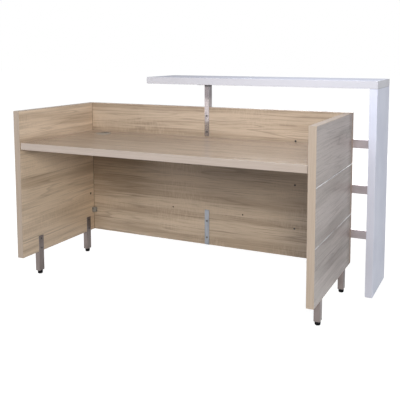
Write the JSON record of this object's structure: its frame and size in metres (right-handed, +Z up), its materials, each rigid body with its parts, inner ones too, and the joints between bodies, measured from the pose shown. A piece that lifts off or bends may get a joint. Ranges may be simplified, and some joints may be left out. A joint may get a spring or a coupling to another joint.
{
  "type": "reception desk",
  "caption": "Reception desk with panelled sides and back, a low worktop, a raised white counter on a post and end panel, and steel legs with levelling feet.",
  "frame": {"origin": "floor level, at the middle of the outline seen from above", "axes": "+X along the desk's length to the counter's end panel, +Y from the receptionist to the customer, +Z up"},
  "size_m": [1.8, 0.881, 1.1],
  "materials": {
    "oak_board": "satin melamine with oak print",
    "oak_edge": "satin edge band",
    "white_board": "smooth white melamine",
    "white_edge": "smooth white edge band",
    "satin_steel": "satin",
    "zinc_steel": "dark zinc plated",
    "zinc_cast": "dark casting",
    "aluminium": "satin",
    "black_plastic": "moulded",
    "silver_plastic": "satin silver moulding",
    "grey_plastic": "moulded",
    "beech": "fluted dowel"
  },
  "bodies": {
    "desk": {"back_edging": "oak_edge", "back_inlay_lines": "aluminium", "back_panel": "oak_board", "back_strip": "satin_steel", "bar_end_plates": "satin_steel", "bar_plugs": "black_plastic", "bar_screws": "zinc_steel", "block_screws": "zinc_steel", "bracket_screws": "zinc_steel", "counter_cam_bolts": "zinc_steel", "counter_cams": "zinc_cast", "counter_dowels": "beech", "counter_end_panel": "white_board", "counter_post": "satin_steel", "counter_top": "white_board", "counter_top_edging": "white_edge", "cover_caps": "black_plastic", "end_panel_edging": "white_edge", "end_panel_glides": "black_plastic", "end_plate_screws": "zinc_steel", "grommet_liner": "silver_plastic", "head_plate_screws": "zinc_steel", "left_corner_block": "grey_plastic", "left_front_leg": "satin_steel", "left_front_leg_plug": "black_plastic", "left_inlay_lines": "aluminium", "left_rear_leg": "satin_steel", "left_rear_leg_plug": "black_plastic", "left_side_edging": "oak_edge", "left_side_panel": "oak_board", "leg_screws": "zinc_steel", "lower_bar": "satin_steel", "middle_bar": "satin_steel", "panel_cam_bolts": "zinc_steel", "panel_cams": "zinc_cast", "panel_dowels": "beech", "post_head_plate": "satin_steel", "post_screws": "zinc_steel", "right_corner_block": "grey_plastic", "right_front_leg": "satin_steel", "right_front_leg_plug": "black_plastic", "right_inlay_lines": "aluminium", "right_rear_leg": "satin_steel", "right_rear_leg_plug": "black_plastic", "right_side_edging": "oak_edge", "right_side_panel": "oak_board", "strip_screws": "zinc_steel", "upper_bar": "satin_steel", "worktop": "oak_board", "worktop_brackets": "satin_steel", "worktop_edging": "oak_edge"},
    "left_front_foot": {"left_front_foot_base": "black_plastic", "left_front_foot_stem": "zinc_steel"},
    "left_rear_foot": {"left_rear_foot_base": "black_plastic", "left_rear_foot_stem": "zinc_steel"},
    "right_front_foot": {"right_front_foot_base": "black_plastic", "right_front_foot_stem": "zinc_steel"},
    "right_rear_foot": {"right_rear_foot_base": "black_plastic", "right_rear_foot_stem": "zinc_steel"},
    "grommet_cap": {"grommet_cap": "silver_plastic"}
  },
  "joints": [
    {"name": "left_front_foot_height", "type": "slide", "parent": "desk", "child": "left_front_foot", "axis": [0, 0, -1], "range_m": [-0.0015, 0.016]},
    {"name": "left_rear_foot_height", "type": "slide", "parent": "desk", "child": "left_rear_foot", "axis": [0, 0, -1], "range_m": [-0.0015, 0.016]},
    {"name": "right_front_foot_height", "type": "slide", "parent": "desk", "child": "right_front_foot", "axis": [0, 0, -1], "range_m": [-0.0015, 0.016]},
    {"name": "right_rear_foot_height", "type": "slide", "parent": "desk", "child": "right_rear_foot", "axis": [0, 0, -1], "range_m": [-0.0015, 0.016]},
    {"name": "grommet_cap_turn", "type": "hinge", "parent": "desk", "child": "grommet_cap", "pos_m": [-0.704, 0.0945, 0.76], "axis": [0, 0, 1], "continuous": true}
  ]
}
